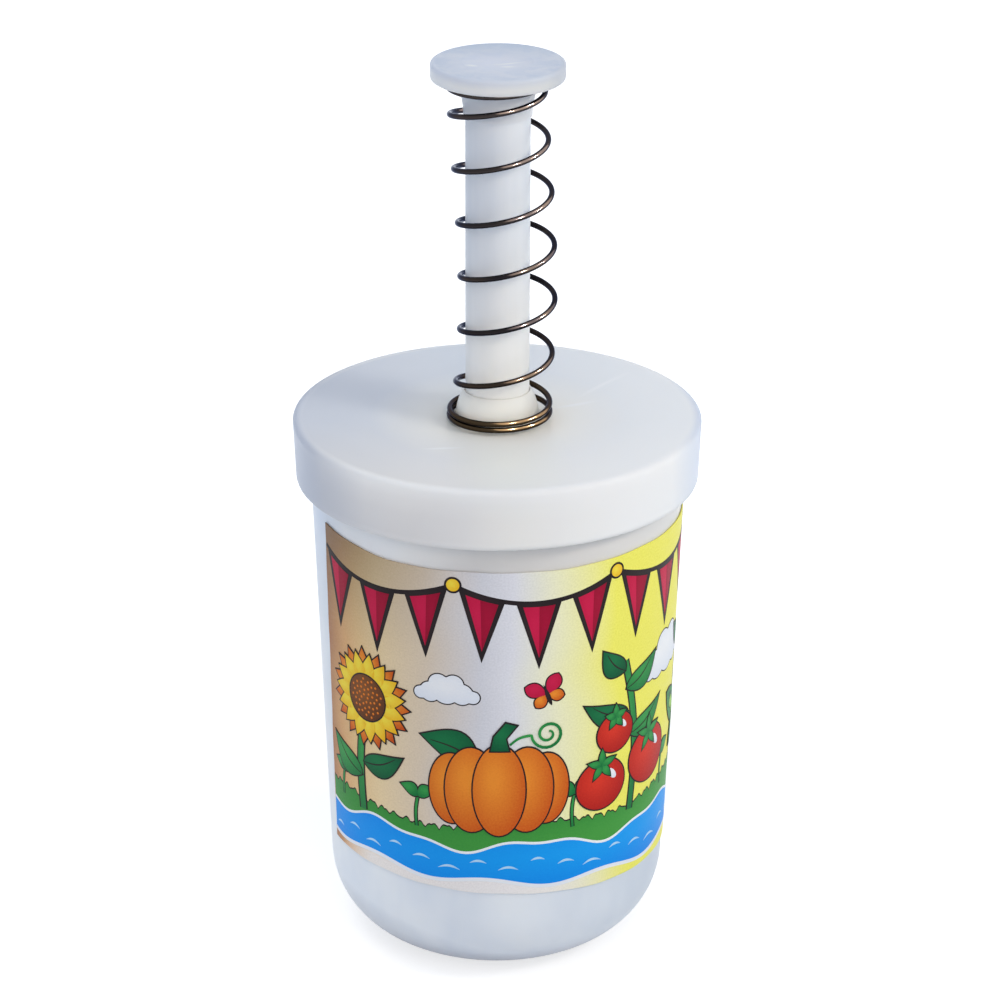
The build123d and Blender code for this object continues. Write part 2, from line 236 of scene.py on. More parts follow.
def milky_settings(scatter):
    """Settings of a satin plastic that light seeps into, by how far in millimetres."""
    return {
        "Subsurface Weight": 0.5,
        "Subsurface Radius": (1.0, 0.95, 0.9),
        "Subsurface Scale": scatter * MM,
        "Specular IOR Level": 0.2,
        "IOR": 1.5,
    }


def milky_plastic(name, roughness, scatter, waviness, grain, softness=0.0, soft_from=0.0):
    """Satin see-through plastic with a wavy face, a fine grain and soft edges from a reach outwards.

    Sizes are in millimetres. Returns the look, the place on the piece and its cloudiness.
    """
    look = Look(name, milky_settings(scatter))
    place = look.place()
    clouds = look.span(look.noise(place, CLOUDS, 3, 0.4), 0, 1)
    gloss = look.noise(place, GLOSS_PATCHES, 2)
    look.set("Roughness", look.span(gloss, roughness - GLOSS_SPREAD, roughness + GLOSS_SPREAD))
    edges = None
    if softness:
        rounding = look.zone(look.reach(place), 0, softness * MM, (0.9 * soft_from, soft_from))
        edges = look.add("Bevel", {"Radius": rounding}).outputs["Normal"]
    wavy = look.bump(look.noise(place, WAVES, 1), waviness, edges)
    look.set("Normal", look.bump(look.noise(place, GRAINS, 2), grain, wavy))
    return look, place, clouds


def marked(look, place, colour, mark_colour, strength, marks):
    """A colour with soft pale marks on it, each a middle, a length, a width and a turn; here the marks are
    painted highlights and reflections.
    """
    for mark in marks:
        colour = look.mix(look.times(look.mark(place, *mark), strength), colour, mark_colour)
    return colour


# Lid: where its tones and its painted light and shade change, in millimetres
# Painted light and shade: the lid darker on the left and paler to the right
LID_PAINTED_LIGHT = (-38, 30)  # left to right
# Painted light: warmer and paler towards the front
LID_PAINTED_WARM_FRONT = (-34, -4)  # front to back
# Painted light: creamier and paler round the boss
LID_PAINTED_BOSS_GLOW = (8, 24)  # out from the boss
# Painted shade on the right side of the boss's foot
LID_BOSS = (8.2, 9.2)  # out from the foot of the boss
LID_SHADED_FLANK = (4.5, 6.5)  # to the right side of the boss
LID_SKIRT = (36.4, 37.8)  # out from the axis
LID_RISE = (93.8, 105.6)
# Painted shade where the skirt turns away at both sides
LID_PAINTED_LIMB_SHADE = (32, 38)  # to both sides
# Painted shade on the left of the skirt
LID_PAINTED_LEFT_SHADE = (-34, -24)  # in from the left
# A painted reflection: a pale warm patch on the top in front of the boss
LID_PAINTED_REFLECTION = (((2, -24), 12, 18, 0),)
# Painted highlights: pale streaks where the wavy top catches the light
LID_PAINTED_HIGHLIGHTS = (((-10, -16), 4.5, 0.7, 12), ((15, 6.5), 5, 0.8, 20), ((20.5, 16), 9, 0.8, 50))
# Painted light on the skirt: how much paler it is, from its lower edge at 0 to the top at 1
LID_PAINTED_EDGE_LIGHT = ((0.0, 0.16), (0.08, 0.12), (0.15, 0), (0.5, 0.04), (0.75, 0.3), (1.0, 0.8))


def lid_plastic():
    """Pale plastic with painted light and shade: paler to the right, in front and round the boss, darker on
    the left, at the sides and beside the boss, with painted highlights on its edges and top and a painted
    reflection in front.
    """
    look, place, clouds = milky_plastic(
        "lid_plastic", roughness=0.34, scatter=1.2, waviness=0.1, grain=0.002, softness=1.6, soft_from=33)
    aside = look.part(place, "X")
    reach = look.reach(place)
    # Painted light and shade: darker and bluer on the left, paler to the right
    painted_light = look.zone(aside, 0, 1, LID_PAINTED_LIGHT)
    bluish = look.mix(painted_light, (212, 216, 225), (247, 248, 248))
    creamy = look.mix(painted_light, (222, 218, 215), (255, 252, 247))
    # Painted light: warmer and paler in front
    front = look.zone(look.part(place, "Y"), 1, 0, LID_PAINTED_WARM_FRONT)
    plain = look.mix(front, bluish, creamy)
    plain = look.mix(look.times(clouds, 0.2), plain, (248, 248, 248))
    # Painted light: creamier and paler round the boss
    colour = look.mix(look.zone(reach, 1, 0, LID_PAINTED_BOSS_GLOW), plain, (252, 248, 238))
    # Painted shade on the right side of the boss's foot
    flank_shade = look.times(look.zone(reach, 1, 0, LID_BOSS), look.zone(aside, 0, 1, LID_SHADED_FLANK))
    colour = look.mix(flank_shade, colour, (233, 230, 223))
    # Painted reflection in front of the boss
    colour = marked(look, place, colour, (255, 251, 238), 0.9, LID_PAINTED_REFLECTION)
    # Painted highlights on the skirt, brightest at its top edge, with a paler lower lip
    skirt = look.zone(reach, 0, 1, LID_SKIRT)
    upward = look.zone(look.part(place, "Z"), 0, 1, LID_RISE)
    tones = look.ramp(upward, [(stop, (tone, tone, tone, 1)) for stop, tone in LID_PAINTED_EDGE_LIGHT])
    colour = look.mix(look.times(skirt, tones), colour, (255, 253, 250))
    # Painted shade: darker and bluer where the skirt turns away at both sides
    limb_shade = look.times(skirt, look.zone(look.math("ABSOLUTE", aside), 0, 0.9, LID_PAINTED_LIMB_SHADE))
    colour = look.mix(limb_shade, colour, (208, 217, 234))
    # Painted shade: darker on the left of the skirt
    left_shade = look.times(skirt, look.zone(aside, 0.5, 0, LID_PAINTED_LEFT_SHADE))
    colour = look.mix(left_shade, colour, (194, 197, 207))
    # Painted highlights: pale streaks on the top
    look.set("Base Color", marked(look, place, colour, (252, 252, 252), 0.8, LID_PAINTED_HIGHLIGHTS))
    return look.material


# Cup: where its tones and its painted light and shade change, in millimetres
# Painted light and shade: the cup paler on the left and darker on the right
CUP_PAINTED_LIGHT = (-34, 34)  # left to right
CUP_PAINTED_SHADE = (20, 30)
# Painted shade in the bare band under the lid, paler and bluer to the left, dimmer to the right
BAND_PAINTED_LIGHT = (-22, -4)  # of the bare band under the lid, left to right
BAND_BLUISH = (-33, -28)
BAND_PAINTED_SHADE = (6, 26)
BAND_RISE = (60, 88)
# Painted shade: darker low on the foot
FOOT_RISE = (1, 8)
CUP_DRAW = (95, 95, 40)  # patches to the metre of the mottle, which is drawn out upwards
# Painted shade beneath the foot, deeper on its left underside
DOWN = (0, 0, -1)
LEFT_AND_DOWN = (-0.52, -0.2, -0.83)
UNDERSIDE_SHADE = (122, 130, 149)


def cup_plastic():
    """Bluish mottled plastic with painted light and shade: paler on the left and darker on the right, shaded
    in the band under the lid, low on the foot and beneath.
    """
    look, place, clouds = milky_plastic(
        "cup_plastic", roughness=0.34, scatter=0.7, waviness=0.14, grain=0.003)
    aside = look.part(place, "X")
    height = look.part(place, "Z")
    drawn = look.noise(look.stretched(place, CUP_DRAW), 1, 2, 0.3)
    mottle = look.times(look.math("ADD", clouds, look.span(drawn, 0, 1, 0.35, 0.65)), 0.5)
    # Lit and shaded copies of the mottled plastic: painted light on the left, painted shade on the right
    shaded_copy = look.mix(mottle, (206, 214, 225), (230, 236, 243))
    pale = look.mix(mottle, (234, 239, 246), (254, 255, 255))
    plain = look.mix(look.zone(aside, 1, 0, CUP_PAINTED_LIGHT), shaded_copy, pale)
    plain = look.mix(look.zone(aside, 0, 0.5, CUP_PAINTED_SHADE), plain, (186, 196, 210))
    # Painted shade under the lid's skirt, paler and bluer on the left, dimmer on the right
    band_shade = look.mix(look.zone(aside, 1, 0, BAND_PAINTED_LIGHT), (224, 221, 217), (255, 253, 249))
    band_shade = look.mix(look.zone(aside, 1, 0, BAND_BLUISH), band_shade, (230, 238, 254))
    band_shade = look.mix(look.zone(aside, 0, 1, BAND_PAINTED_SHADE), band_shade, (232, 229, 225))
    colour = look.mix(look.zone(height, 0, 1, BAND_RISE), plain, band_shade)
    # Painted shade: darker low on the foot
    colour = look.mix(look.zone(height, 1, 0, FOOT_RISE), colour, (212, 217, 229))
    # Painted shade beneath the foot, deeper on its left underside
    colour = look.mix(look.span(look.facing(DOWN), 0, 0.6, 0.6, 0.95), colour, UNDERSIDE_SHADE)
    left_under_shade = look.span(look.facing(LEFT_AND_DOWN), 0, 0.5, 0.64, 1)
    look.set("Base Color", look.mix(left_under_shade, colour, UNDERSIDE_SHADE))
    return look.material


# Button: where its tones and its painted light and shade change, in millimetres
# Painted light and shade: the disc paler in its middle and darker at its back
BUTTON_DISC = (2, 11)  # out from the middle
BUTTON_FAR_SHADE = (3, 12)  # back from the middle
BUTTON_RIM = (11.4, 12.3)  # out from the disc
# Painted light and shade on the rim: paler on the left, darker to the right
BUTTON_PAINTED_LIGHT = (-12, 12)  # left to right
BUTTON_PAINTED_SHADE = (9, 12)  # to the right side
BUTTON_RISE = (172.4, 174)
COLLAR_RISE = (170.6, 171.1)  # from the collar up to the disc
BUTTON_PATCHES = 330
# Painted reflections: pale marks on the disc
BUTTON_PAINTED_REFLECTIONS = (((-4.8, -2.2), 1.4, 0.9, 0), ((2, -0.3), 3.2, 0.6, 14), ((1.8, -2.4), 1.6, 0.9, 0))


def button_plastic():
    """Bluish plastic, plainer at the rim and the collar, with painted light: the disc paler in its middle
    and shaded at its back, pale marks on it that are painted reflections, and a rim paler on the left and
    shaded on the right.
    """
    look, place, clouds = milky_plastic(
        "button_plastic", roughness=0.36, scatter=1.2, waviness=0.12, grain=0.003,
        softness=0.8, soft_from=11)
    aside = look.part(place, "X")
    height = look.part(place, "Z")
    reach = look.reach(place)
    # Painted light: the disc paler in its middle
    plain = look.mix(look.zone(reach, 0, 1, BUTTON_DISC), (222, 225, 236), (196, 206, 222))
    mottle = look.span(look.noise(place, BUTTON_PATCHES, 3, 0.6), 0, 0.55, 0.38, 0.66)
    plain = look.mix(mottle, plain, (227, 228, 233))
    # Painted shade: darker and bluer at the back of the disc
    far = look.zone(look.part(place, "Y"), 0, 0.8, BUTTON_FAR_SHADE)
    plain = look.mix(far, plain, (184, 198, 217))
    plain = look.mix(look.times(clouds, 0.3), plain, (226, 231, 241))
    # Painted reflections: pale marks on the disc
    disc = marked(look, place, plain, (242, 243, 242), 0.85, BUTTON_PAINTED_REFLECTIONS)
    # Painted light and shade on the rim: paler on the left, darker to the right; it is also creamier low
    # down and bluer high up
    painted_light = look.zone(aside, 1, 0, BUTTON_PAINTED_LIGHT)
    lower = look.mix(painted_light, (216, 217, 217), (255, 253, 249))
    upper = look.mix(painted_light, (206, 211, 220), (226, 230, 240))
    rim = look.mix(look.zone(height, 0, 1, BUTTON_RISE), lower, upper)
    # Painted shade at the right side of the rim
    rim = look.mix(look.zone(aside, 0, 0.7, BUTTON_PAINTED_SHADE), rim, (192, 196, 206))
    colour = look.mix(look.zone(reach, 0, 1, BUTTON_RIM), disc, rim)
    collar = look.zone(height, 1, 0, COLLAR_RISE)
    look.set("Base Color", look.mix(collar, colour, (236, 238, 242)))
    return look.material


def bush_plastic():
    look, _, clouds = milky_plastic(
        "bush_plastic", roughness=0.42, scatter=1, waviness=0.08, grain=0.004)
    look.set("Base Color", look.mix(clouds, (220, 221, 220), (232, 232, 230)))
    return look.material


# Rod, rubber and steel; patches to the metre, and heights in millimetres
ROD_STREAKS = (420, 420, 14)
ROD_PATCHES = 48
# Painted light: the rod creamier and paler lower down
ROD_RISE = (112, 145)
RUBBER_PATCHES = 260
RUBBER_GLOSS = 700
RUBBER_GRAINS = 2600
ROLLING_LINES = (900, 60, 900)
OXIDE_PATCHES = 120
DRAWING_LINES = (0.6, 26, 1)  # to a turn of the spring and to the girth of its wire
# Painted reflections: bronze on the low coils, paler on the upper coils
WIRE_PAINTED_LID_REFLECTION = (107, 122)
WIRE_PAINTED_UPPER_REFLECTION = (135, 168)


def rod_plastic():
    """White extruded plastic with faint streaks along the rod; creamier and paler lower down, which is
    painted light from the lid below.
    """
    look = Look("plunger_plastic", milky_settings(1))
    place = look.place()
    streaks = look.noise(look.stretched(place, ROD_STREAKS), 1, 3)
    mean = look.times(look.math("ADD", streaks, look.noise(place, ROD_PATCHES, 2)), 0.5)
    tone = look.span(mean, 0, 1)
    upper = look.mix(tone, (230, 234, 240), (242, 244, 247))
    lower = look.mix(tone, (248, 245, 238), (255, 252, 246))
    # Painted light: creamier and paler low on the rod, where light bounces up from the lid
    colour = look.mix(look.zone(look.part(place, "Z"), 0, 1, ROD_RISE), lower, upper)
    return look.done(colour, look.span(streaks, 0.34, 0.46), look.bump(streaks, 0.02))


def rubber():
    look = Look("seal_rubber", {"Specular IOR Level": 0.35})
    place = look.place()
    colour = look.mix(look.noise(place, RUBBER_PATCHES, 3), (34, 34, 36), (62, 61, 62))
    roughness = look.span(look.noise(place, RUBBER_GLOSS, 2), 0.62, 0.8)
    return look.done(colour, roughness, look.bump(look.noise(place, RUBBER_GRAINS, 2), 0.03))


def clip_steel():
    look = Look("clip_steel", {"Metallic": 1.0})
    rolled = look.noise(look.stretched(look.place(), ROLLING_LINES), 1, 3)
    colour = look.mix(rolled, (150, 148, 146), (196, 196, 198))
    return look.done(colour, look.span(rolled, 0.26, 0.42), look.bump(rolled, 0.01))


def spring_steel():
    """Browned spring wire: dark oxide with fine drawing lines; the bronze low down and the paler tone high
    up are painted reflections.
    """
    look = Look("spring_steel", {"Metallic": 1.0, "Specular Tint": srgb(190, 196, 212)})
    place = look.place()
    height = look.part(place, "Z")
    patches = look.noise(place, OXIDE_PATCHES, 3, 0.6)
    lines = look.noise(look.stretched(look.map_place("wire"), DRAWING_LINES), 1, 2)
    oxide = [(0.3, srgb(28, 27, 33)), (0.55, srgb(36, 33, 35)), (0.75, srgb(58, 51, 45))]
    # Painted reflection of the lid: bronze on the low coils
    bronze = look.zone(height, 0.8, 0, WIRE_PAINTED_LID_REFLECTION)
    colour = look.mix(bronze, look.ramp(patches, oxide), (66, 54, 38))
    # Painted reflection: paler on the upper coils
    colour = look.mix(look.zone(height, 0, 0.7, WIRE_PAINTED_UPPER_REFLECTION), colour, (62, 56, 54))
    return look.done(colour, look.span(lines, 0.12, 0.2), look.bump(lines, 0.012))


CAD_LOOKS = (
    (cup_plastic(), ["cup"]),
    (lid_plastic(), ["lid"]),
    (button_plastic(), ["push_button"]),
    (rod_plastic(), ["plunger_rod", "metering_tip"]),
    (bush_plastic(), ["outlet_bush", "bush_nut", "seal_cap"]),
    (rubber(), ["wiper_seal"]),
    (clip_steel(), ["stop_washer", "retaining_clip"]),
)
for material, names in CAD_LOOKS:
    for name in names:
        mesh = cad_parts[name].data
        mesh.materials.clear()
        mesh.materials.append(material)


def finished(form, name, materials):
    """The mesh of a form, facing outwards, with its materials."""
    bmesh.ops.recalc_face_normals(form, faces=form.faces)
    mesh = bpy.data.meshes.new(name)
    form.to_mesh(mesh)
    form.free()
    for material in materials:
        mesh.materials.append(material)
    return mesh


def new_object(name, data):
    """Puts a mesh, a lamp or a camera into the scene."""
    made = bpy.data.objects.new(name, data)
    bpy.context.scene.collection.objects.link(made)
    return made


def new_piece(name, mesh, body):
    """Puts a mesh into the scene as a piece that takes its finish from a slot."""
    piece = new_object(name, mesh)
    if body:
        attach(piece, body)
    return piece


# Return spring: one round wire with the turns of the part's own spring, which leans a little more
WIRE = 1.06 * MM
OPEN_RADIUS = 8.75 * MM  # of the open coils, to the middle of the wire
SEAT_RADIUS = 9.4 * MM  # of the closed coil on the lid
TOP_FLARE = 0.15 * MM  # how much wider the spring grows up to the button
BOW = 1.68 * MM  # how far the spring bends to the side, half way up
LEFT_LEAN = 0.36 * MM  # how far it stands to the left at its top, and to the right at its foot
SWAY = 0.22 * MM  # how much more it bends in its lower half than in its upper half
COIL_TILT = 0.9 * MM  # how much higher a coil stands on its right, half way up
CLOSED_PITCH = 1.43 * MM
SEAT_PITCH = 1.1 * MM  # of the coils that lie on the lid
START_ANGLE = radians(90)
LOWER_TURNS = 1.35
RISE_TURNS = 1.0
OPEN_TURNS = 5.0
FALL_TURNS = 0.7
UPPER_TURNS = 0.7
STEPS_A_TURN = 72
WIRE_SIDES = 18

fall_start = LOWER_TURNS + RISE_TURNS + OPEN_TURNS
all_turns = fall_start + FALL_TURNS + UPPER_TURNS
spring_low, spring_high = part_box("return_spring")
wire_foot = spring_low.z + WIRE / 2
wire_rise = spring_high.z - spring_low.z - WIRE


def eased(turn, start, length):
    """A share that goes smoothly from 0 to 1 over a number of turns."""
    share = min(max((turn - start) / length, 0), 1)
    return (1 - cos(pi * share)) / 2


def eased_sum(turn, start, length):
    """The eased share added up over the turns so far."""
    share = min(max((turn - start) / length, 0), 1)
    rising = length * (share / 2 - sin(pi * share) / (2 * pi))
    return rising + max(turn - start - length, 0)


def open_share(turn):
    """Turns at the open pitch that the wire has made, up to a turn."""
    return eased_sum(turn, LOWER_TURNS, RISE_TURNS) - eased_sum(turn, fall_start, FALL_TURNS)


extra_pitch = (wire_rise - CLOSED_PITCH * all_turns) / open_share(all_turns)


def wire_point(turn):
    """Middle of the wire after a number of turns from its lower end."""
    narrowed = eased(turn, LOWER_TURNS, RISE_TURNS)
    settled = (CLOSED_PITCH - SEAT_PITCH) * turn * (1 - narrowed)
    rise = CLOSED_PITCH * turn + extra_pitch * open_share(turn) - settled
    radius = SEAT_RADIUS + (OPEN_RADIUS - SEAT_RADIUS) * narrowed + TOP_FLARE * turn / all_turns
    angle = START_ANGLE + 2 * pi * turn
    upward = pi * rise / wire_rise
    bend = sin(upward)
    aside = BOW * bend + LEFT_LEAN * cos(upward) + SWAY * sin(2 * upward)
    tilt = COIL_TILT * bend * (1 + cos(angle)) / 2
    return Vector((aside + radius * cos(angle), radius * sin(angle), wire_foot + rise + tilt))


def wire_heading(turn):
    small_turn = 0.001
    return (wire_point(turn + small_turn) - wire_point(turn - small_turn)).normalized()


def spring_rings():
    """Centre, heading and press share of each ring of the wire, with straight ends."""
    turns = between(0, all_turns, round(all_turns * STEPS_A_TURN))
    full = open_share(all_turns)
    rings = [(wire_point(turn), wire_heading(turn), open_share(turn) / full) for turn in turns]
    foot, heading, share = rings[0]
    rings.insert(0, (foot - heading * WIRE, heading, share))
    top, heading, share = rings[-1]
    rings.append((top + heading * WIRE, heading, share))
    return rings


def spring_mesh():
    """The wire's mesh, and for each vertex how much of the button's travel it follows."""
    form = bmesh.new()
    wire_map = form.loops.layers.uv.new("wire")
    loops, shares = [], []
    for centre, heading, share in spring_rings():
        side = heading.cross(Vector((0, 0, 1))).normalized()
        top = side.cross(heading)
        spokes = [side * cos(angle) + top * sin(angle) for angle in angles(WIRE_SIDES)]
        loops.append([form.verts.new(centre + spoke * WIRE / 2) for spoke in spokes])
        shares += [share] * WIRE_SIDES
    for row in range(len(loops) - 1):
        for corner in range(WIRE_SIDES):
            places = [(row, corner), (row, corner + 1), (row + 1, corner + 1), (row + 1, corner)]
            face = form.faces.new([loops[along][around % WIRE_SIDES] for along, around in places])
            face.smooth = True
            for loop, (along, around) in zip(face.loops, places):
                loop[wire_map].uv = (along / STEPS_A_TURN, around / WIRE_SIDES)
    form.faces.new(reversed(loops[0]))
    form.faces.new(loops[-1])
    return finished(form, "spring_wire", [spring_steel()]), shares


wire_mesh, press_shares = spring_mesh()
spring = new_piece("spring_wire", wire_mesh, None)
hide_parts("return_spring")
# The closed coils stay closed and the open ones share the travel, so each ring has one press share.
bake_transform(spring, "spring", "plunger", start=(0, 0, spring_low.z), end=(0, 0, spring_high.z))
wire_mesh.attributes["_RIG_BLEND"].data.foreach_set("value", press_shares)

# Label, drawn flat in millimetres: u runs round the cup from the middle of the front, v is the height
_, label_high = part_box("label")
LABEL_FOOT = 21.2  # at the front
LABEL_TOP = label_high.z / MM
LABEL_LEFT = -40.0
LABEL_RIGHT = 151.4
LABEL_LENGTH = LABEL_RIGHT - LABEL_LEFT
LABEL_HEIGHT = LABEL_TOP - LABEL_FOOT
LABEL_SLANT = 0.05  # how much the lower edge falls for each millimetre to the right
CORNER_START = -20.0  # from where the upper edge rises to the left corner
CORNER_RISE = 1.3
LABEL_DRAFT = radians(2.16)
LABEL_PAPER = 0.2
CUT_WOBBLE = 0.14  # how far the scissors stray from a straight cut
CUTS_ALONG = 196  # snips along the paper
CUTS_UP = 32
CELL_WIDTH = 1.0  # of the strips that wrap round the cup
CELL_HEIGHT = 4.0
SHARP_EDGE = radians(40)
INK_STEP = 0.012  # how far each layer of print stands above the one below
INK_ROOT = -0.004  # how far the print reaches into the paper
top_radius = label_high.x / MM


def label_radius(v):
    return top_radius - (LABEL_TOP - v) * tan(LABEL_DRAFT)


def foot_fall(u):
    """How far the askew lower edge lies below its place at the front."""
    radius = label_radius(LABEL_FOOT)
    return LABEL_SLANT * radius * sin(u / radius)


def wrapped(u, v, lift):
    """Point on the cup of a place on the flat label, lifted off the paper."""
    angle = u / label_radius(v)
    out = label_radius(v) + lift
    return Vector((out * sin(angle), -out * cos(angle), v)) * MM


# A flat area of one ink: its corners on the label, its faces, and the heights of its face and its root
Plate = namedtuple("Plate", "corners faces ink lift root", defaults=[INK_ROOT])


def fill(outline, ink, layer):
    return Plate(outline, [range(len(outline))], ink, layer * INK_STEP)


def across(heading):
    return Vector((-heading.y, heading.x)).normalized()


def line(points, width, ink, layer, taper=0.0):
    """A pen line along points, whose ends are thinner by the taper."""
    points = [Vector(point) for point in points]
    last = len(points) - 1
    corners = []
    for index, point in enumerate(points):
        heading = points[min(index + 1, last)] - points[max(index - 1, 0)]
        share = 1 - taper * (1 - sin(pi * index / last))
        half = across(heading) * width * share / 2
        corners += [point + half, point - half]
    faces = [(2 * row, 2 * row + 1, 2 * row + 3, 2 * row + 2) for row in range(last)]
    return Plate(corners, faces, ink, layer * INK_STEP)


def grown(outline, by):
    """An outline moved outwards, with its sharp corners kept."""
    sharpest = 0.42
    points = [Vector(point) for point in outline]
    pairs = zip(points, points[1:] + points[:1])
    turning = sum(first.x * second.y - second.x * first.y for first, second in pairs)
    outwards = -1 if turning > 0 else 1
    moved = []
    for index, point in enumerate(points):
        before = across(point - points[index - 1])
        after = across(points[(index + 1) % len(points)] - point)
        middle = (before + after).normalized()
        moved.append(point + middle * outwards * by / max(middle.dot(before), sharpest))
    return moved


def outlined(outline, ink, layer, pen):
    """An area of ink with a dark pen line round it."""
    return [fill(grown(outline, pen), "line", layer), fill(outline, ink, layer + 1)]


def ellipse(u, v, wide, tall, turn=0.0, count=40):
    points = []
    for angle in angles(count):
        x, y = wide * cos(angle), tall * sin(angle)
        points.append((u + x * cos(turn) - y * sin(turn), v + x * sin(turn) + y * cos(turn)))
    return points


def bowed(start, end, bow, count=14):
    """A curve from start to end that bows to its left by a share of its length."""
    start, end = Vector(start), Vector(end)
    along = end - start
    most = across(along) * along.length * bow
    return [start + along * share + most * sin(pi * share) for share in steps(count)]


def leaf(base, tip, width, bow=0.0):
    """Outline of a pointed leaf, widest nearer to its base."""
    spine = bowed(base, tip, bow)
    sideways = across(Vector(tip) - Vector(base))
    shares = steps(len(spine) - 1)
    halves = [width / 2 * sin(pi * share ** 0.75) for share in shares]
    left = [point + sideways * half for point, half in zip(spine, halves)]
    right = [point - sideways * half for point, half in zip(spine, halves)]
    return left + right[-2:0:-1]


def polar(u, v, reach, angle):
    return (u + reach * cos(angle), v + reach * sin(angle))


def drawn_leaf(base, tip, width, ink, layer, bow=0.0):
    """A leaf with its outline and its middle vein."""
    vein = bowed(base, Vector(base).lerp(Vector(tip), 0.82), bow * 0.8, 8)
    plates = outlined(leaf(base, tip, width, bow), ink, layer, 0.28)
    return plates + [line(vein, 0.3, "line", layer + 2, 0.6)]


def drawn_stem(foot, top, bow, outer, inner, ink, layer):
    """A stem with its outline, by the widths of both."""
    stem = bowed(foot, top, bow)
    return [line(stem, outer, "line", layer), line(stem, inner, ink, layer + 1)]


# Bunting along the top of the label
SWAGS = 6
FLAGS = 3
STRING_TOP = 85.6
STRING_SAG = 3.6
STRING_WIDTH = 0.9
STRING_GAP = 0.01  # left at both ends of the label, as a share of a swag
KNOT_RADIUS = 1.25
FLAG_SPREAD = 0.128  # half a flag's width, as a share of a swag
FLAG_DROP = 13.0
FLAG_HEM = 0.75
swag_length = LABEL_LENGTH / SWAGS


def string_point(swag, share):
    return (LABEL_LEFT + (swag + share) * swag_length, STRING_TOP - 4 * STRING_SAG * share * (1 - share))


def flag(swag, share):
    """A pennant on the string, and the half of it that lies in shade."""
    edge = [string_point(swag, share + FLAG_SPREAD * (2 * s - 1)) for s in steps(6)]
    middle = string_point(swag, share)
    shape = edge + [(middle[0], middle[1] - FLAG_DROP)]
    inner = grown(shape, -FLAG_HEM)
    shade = inner[3:]
    return [fill(grown(shape, 0.25), "line", 2), fill(inner, "crimson", 3), fill(shade, "deep_crimson", 4)]


def bunting():
    plates = []
    for swag in range(SWAGS):
        first = STRING_GAP if swag == 0 else 0
        last = 1 - STRING_GAP if swag == SWAGS - 1 else 1
        string = [string_point(swag, share) for share in between(first, last, 30)]
        plates.append(line(string, STRING_WIDTH, "line", 1))
        for number in range(FLAGS):
            plates += flag(swag, (number + 0.5) / FLAGS)
    for swag in range(1, SWAGS):
        u, v = string_point(swag, 0)
        plates += outlined(ellipse(u, v, KNOT_RADIUS, KNOT_RADIUS), "yellow", 5, 0.4)
    return plates


# Stream and its grassy bank along the foot of the label
STREAM_TOP = 31.0
STREAM_FOOT = 23.9
BANK_TOP = 34.6
BANK_PEN = 0.3
FOAM_ABOVE = 0.55
FOAM_BELOW = 0.8
EDGE_GAP = 0.3  # kept between the print and the ends of the paper
RIPPLES = 34


def stream_top(u):
    return STREAM_TOP + 1.2 * sin(u / 4.9) + 0.5 * sin(u / 2.2 + 1) - 0.6 * foot_fall(u)


def stream_foot(u):
    return STREAM_FOOT + 0.7 * sin(u / 3.7 + 2) - foot_fall(u)


def bank_top(u):
    tufts = 0.9 * abs(sin(u * 1.15)) + 0.5 * abs(sin(u * 2.1 + 1))
    return BANK_TOP + 0.8 * sin(u / 6.3 + 0.6) + tufts


def band(upper, lower, spacing, ink, layer):
    """An area of ink between two curves that run the length of the label, clear of its ends."""
    first, last = LABEL_LEFT + EDGE_GAP, LABEL_RIGHT - EDGE_GAP
    places = between(first, last, round((last - first) / spacing))
    top = [(u, upper(u)) for u in places]
    foot = [(u, lower(u)) for u in reversed(places)]
    return fill(top + foot, ink, layer)


def stream():
    plates = [
        band(lambda u: bank_top(u) + BANK_PEN, stream_foot, 0.4, "line", 1),
        band(bank_top, stream_foot, 0.4, "grass", 2),
        band(lambda u: stream_top(u) + FOAM_ABOVE, lambda u: stream_foot(u) - FOAM_BELOW, 1.0, "white", 3),
        band(stream_top, stream_foot, 1.0, "blue", 4),
    ]
    for number in range(RIPPLES):
        u = LABEL_LEFT + LABEL_LENGTH * (number + 0.5) / RIPPLES
        height = STREAM_FOOT + 1.5 + 3.2 * (number * 0.618 % 1) - 0.8 * foot_fall(u)
        half = 1.3 + 0.9 * (number * 0.382 % 1)
        crest = bowed((u - half, height), (u + half, height), 0.16)
        plates.append(line(crest, 0.5, "pale_blue", 5, 0.8))
    return plates


# Plants and what flies above them
def sunflower(u, v):
    plates = drawn_stem((u - 1.5, BANK_TOP - 1), (u, v), 0.05, 2.3, 1.6, "green", 6)
    plates += drawn_leaf((u - 1.6, 41), (u - 11, 46.5), 5.2, "green", 8, 0.12)
    plates += drawn_leaf((u - 1.1, 44), (u + 8.6, 47.6), 4.8, "deep_green", 8, -0.12)
    petals = 15
    for row, (reach, ink) in enumerate(((10.2, "orange"), (9.3, "yellow"))):
        for petal in range(petals):
            angle = 2 * pi * (petal + row / 2) / petals
            shape = leaf(polar(u, v, 3.2, angle), polar(u, v, reach, angle), 3.3)
            plates += outlined(shape, ink, 11 + 2 * row, 0.26)
    plates += outlined(ellipse(u, v, 4.7, 4.7), "brown", 15, 0.3)
    seeds = 46
    golden_turn = radians(137.508)
    for seed in range(seeds):
        middle = polar(u, v, 4.1 * sqrt((seed + 0.5) / seeds), seed * golden_turn)
        plates.append(fill(ellipse(*middle, 0.27, 0.27, count=8), "orange", 17))
    return plates


